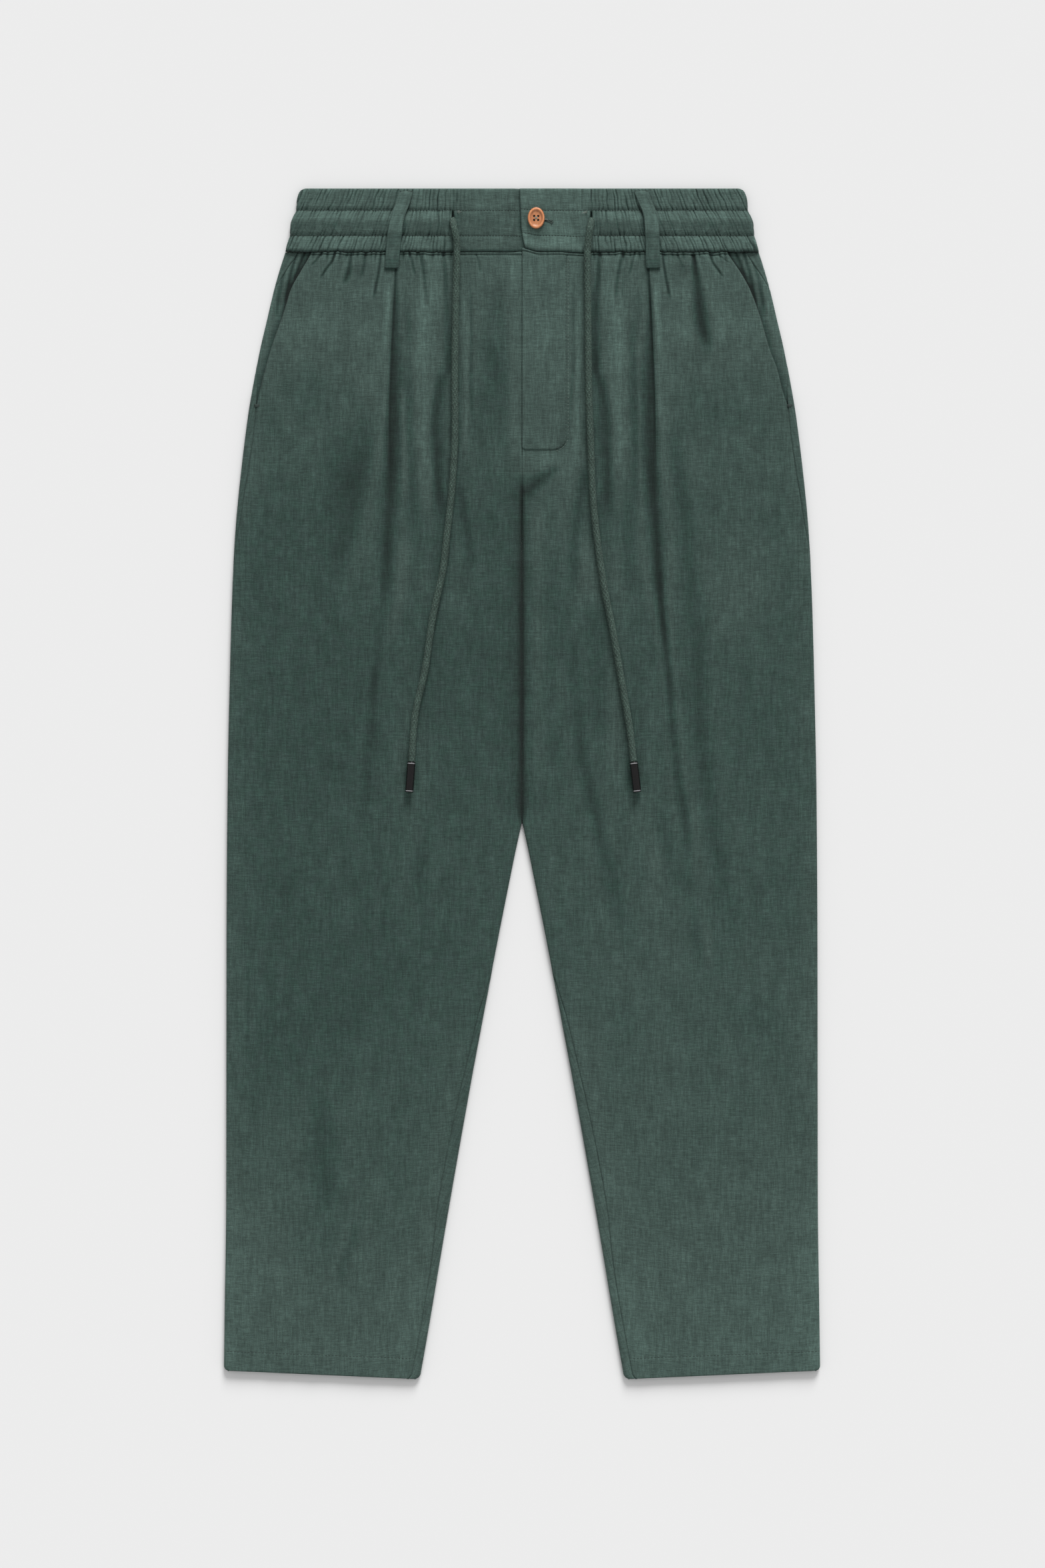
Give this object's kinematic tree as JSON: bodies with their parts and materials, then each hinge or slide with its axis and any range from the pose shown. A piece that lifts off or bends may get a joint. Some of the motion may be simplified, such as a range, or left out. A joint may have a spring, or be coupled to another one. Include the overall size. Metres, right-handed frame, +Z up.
{
  "type": "linen drawstring trousers",
  "caption": "Tapered linen drawstring trousers laid flat, front up: gathered elastic waistband, button, fly, slant pockets, belt loops, pleats.",
  "frame": {"origin": "on the surface the trousers lie on, under the middle of their outline", "axes": "+X towards the wearer's left, +Y from the hems to the waist, +Z up, out of the trousers' front"},
  "size_m": [0.5114, 1.02, 0.0128],
  "materials": {
    "linen": "slubby plain-woven linen, washed, matt",
    "cord": "tubular cotton braid, matt",
    "button": "turned corozo nut, softly polished",
    "aglet": "black lacquered metal, glossy"
  },
  "bodies": {
    "root": {"front_right": "linen", "front_left": "linen", "back_right": "linen", "back_left": "linen", "pocket_facing_right": "linen", "pocket_facing_left": "linen", "fly_placket": "linen", "waistband_plain_right": "linen", "waistband_plain_left": "linen", "waistband_elastic_right": "linen", "waistband_elastic_left": "linen", "belt_loop_right": "linen", "belt_loop_left": "linen", "button": "button", "drawstring_right": "cord", "drawstring_left": "cord", "aglet_right": "aglet", "aglet_left": "aglet"}
  },
  "joints": []
}
